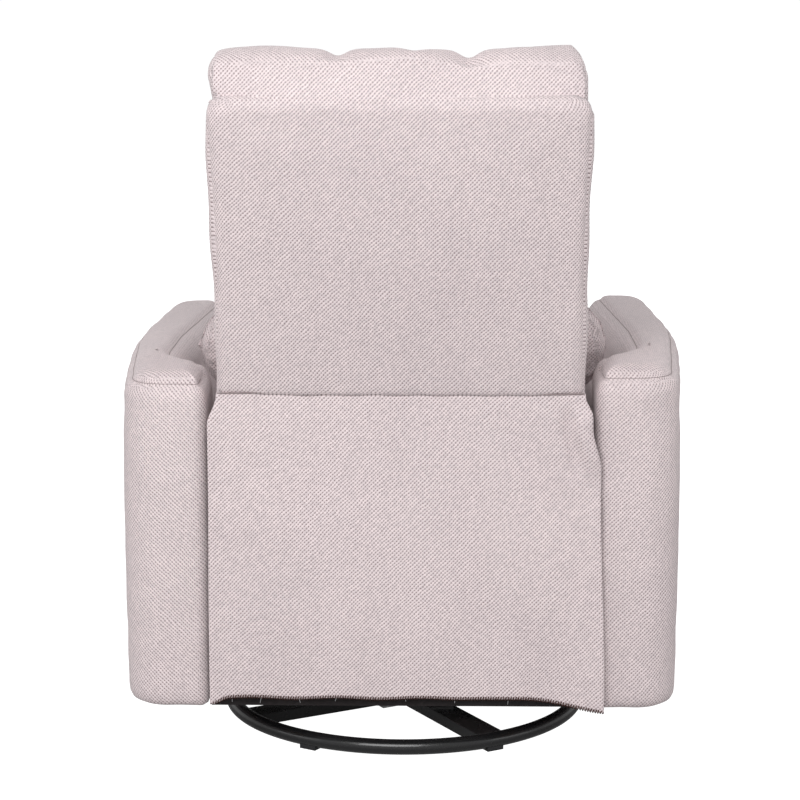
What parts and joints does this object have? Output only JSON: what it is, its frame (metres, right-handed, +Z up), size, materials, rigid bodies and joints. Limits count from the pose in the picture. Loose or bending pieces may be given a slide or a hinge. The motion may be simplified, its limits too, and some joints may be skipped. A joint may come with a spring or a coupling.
{
  "type": "glider nursery chair",
  "caption": "Upholstered swivel glider recliner for a nursery, with tub arms, a lumbar pillow, a fold-out footrest and a round floor ring.",
  "frame": {"origin": "on the floor under the swivel axis", "axes": "+Z up, -Y the way the sitter faces, +X the sitter's left"},
  "size_m": [0.8248, 0.8682, 1.0039],
  "materials": {
    "oat_fabric": "woven upholstery, warm light grey",
    "black_steel": "black powder coat, satin",
    "zinc_steel": "zinc plated",
    "frame_timber": "plain plywood and softwood",
    "nylon": "moulded nylon",
    "black_plastic": "moulded, fine texture",
    "dust_cloth": "non-woven black dust cover",
    "webbing": "elastic webbing"
  },
  "bodies": {
    "base": {"base_ring": "black_steel", "base_cross_long": "black_steel", "base_cross_halves": "black_steel", "floor_glides": "black_plastic", "swivel_lower_plate": "zinc_steel", "swivel_lower_bolts": "zinc_steel"},
    "swivel_bearing": {"swivel_balls": "zinc_steel", "ball_cage": "nylon"},
    "swivel_stand": {"swivel_upper_plate": "zinc_steel", "stand_members": "black_steel", "stand_bolts": "zinc_steel", "glide_bracket_left": "black_steel", "glide_bracket_right": "black_steel", "upper_glide_pins": "zinc_steel"},
    "front_links": {"front_glide_links": "black_steel", "front_link_bushes": "nylon"},
    "rear_links": {"rear_glide_links": "black_steel", "rear_link_bushes": "nylon"},
    "carriage": {"glide_rail_left": "black_steel", "glide_rail_right": "black_steel", "lower_glide_pins": "zinc_steel", "seat_side_left": "frame_timber", "seat_side_right": "frame_timber", "seat_front_rail": "frame_timber", "seat_rear_rail": "frame_timber", "mechanism_plates": "zinc_steel", "mechanism_pins": "zinc_steel", "seat_springs": "zinc_steel", "spring_clips": "nylon", "seat_cushion": "oat_fabric", "arm_cover_left": "oat_fabric", "arm_cover_right": "oat_fabric", "arm_frame_left": "frame_timber", "arm_frame_right": "frame_timber", "arm_bolts": "zinc_steel", "arm_dust_covers": "dust_cloth", "rear_bottom_rail": "dust_cloth", "rear_rail_blocks": "frame_timber", "rear_flap": "oat_fabric", "release_bezel": "black_plastic", "release_cable": "black_plastic"},
    "release_pull": {"release_pull": "black_plastic"},
    "latch_lever": {"latch_lever": "zinc_steel"},
    "backrest": {"back_stile_left": "frame_timber", "back_stile_right": "frame_timber", "back_cross_rails": "frame_timber", "back_webbing": "webbing", "back_brackets": "zinc_steel", "back_panel": "oat_fabric", "back_side_bands": "oat_fabric", "back_cushion": "oat_fabric"},
    "lumbar_pillow": {"lumbar_pillow": "oat_fabric"},
    "footrest_arm": {"footrest_arms": "black_steel", "torsion_tube": "black_steel"},
    "footrest_link": {"footrest_links": "black_steel"},
    "footrest_stay": {"footrest_stays": "black_steel"},
    "footrest": {"footrest_brackets": "black_steel", "footrest_board": "frame_timber", "footrest_pad": "oat_fabric"}
  },
  "joints": [
    {"name": "swivel", "type": "hinge", "parent": "base", "child": "swivel_stand", "pos_m": [0, 0, 0.028], "axis": [0, 0, 1], "continuous": true},
    {"name": "bearing_roll", "type": "hinge", "parent": "base", "child": "swivel_bearing", "pos_m": [0, 0, 0.028], "axis": [0, 0, 1], "continuous": true},
    {"name": "glide", "type": "hinge", "parent": "swivel_stand", "child": "front_links", "pos_m": [0, -0.105, 0.228], "axis": [1, 0, 0], "range_deg": [-20, 20]},
    {"name": "glide_rear", "type": "hinge", "parent": "swivel_stand", "child": "rear_links", "pos_m": [0, 0.105, 0.228], "axis": [1, 0, 0], "range_deg": [-20, 20]},
    {"name": "glide_level", "type": "hinge", "parent": "front_links", "child": "carriage", "pos_m": [0, -0.105, 0.103], "axis": [1, 0, 0], "range_deg": [-20, 20]},
    {"name": "recline", "type": "hinge", "parent": "carriage", "child": "backrest", "pos_m": [0, 0.228, 0.3], "axis": [-1, 0, 0], "range_deg": [0, 35], "deforming": ["rear_flap"]},
    {"name": "pillow_lift", "type": "slide", "parent": "backrest", "child": "lumbar_pillow", "axis": [0, 0.2756, 0.9613], "range_m": [0, 0.3]},
    {"name": "footrest_extend", "type": "hinge", "parent": "carriage", "child": "footrest_arm", "pos_m": [0, -0.27, 0.285], "axis": [-1, 0, 0], "range_deg": [0, 145]},
    {"name": "footrest_knee", "type": "hinge", "parent": "footrest_arm", "child": "footrest_link", "pos_m": [0, -0.10978, 0.1925], "axis": [-1, 0, 0], "range_deg": [-121, 0]},
    {"name": "footrest_tilt", "type": "hinge", "parent": "footrest_link", "child": "footrest", "pos_m": [0, -0.35963, 0.18377], "axis": [-1, 0, 0], "range_deg": [0, 54]},
    {"name": "footrest_stay_swing", "type": "hinge", "parent": "carriage", "child": "footrest_stay", "pos_m": [0, -0.225, 0.262], "axis": [-1, 0, 0], "range_deg": [0, 145]},
    {"name": "release", "type": "slide", "parent": "carriage", "child": "release_pull", "axis": [1, 0, 0], "range_m": [0, 0.02], "stiffness_N_per_m": 400, "springref_m": -0.01},
    {"name": "latch", "type": "hinge", "parent": "carriage", "child": "latch_lever", "pos_m": [-0.2215, -0.06, 0.288], "axis": [-1, 0, 0], "range_deg": [0, 32]}
  ],
  "couplings": [
    {"joint": "bearing_roll", "follows": "swivel", "ratio": 0.5},
    {"joint": "glide_rear", "follows": "glide", "ratio": 1},
    {"joint": "glide_level", "follows": "glide", "ratio": -1},
    {"joint": "footrest_knee", "follows": "footrest_extend", "ratio": -0.83448},
    {"joint": "footrest_tilt", "follows": "footrest_extend", "ratio": 0.37241},
    {"joint": "footrest_stay_swing", "follows": "footrest_extend", "ratio": 1},
    {"joint": "latch", "follows": "release", "rad_per_m": 27.5}
  ]
}
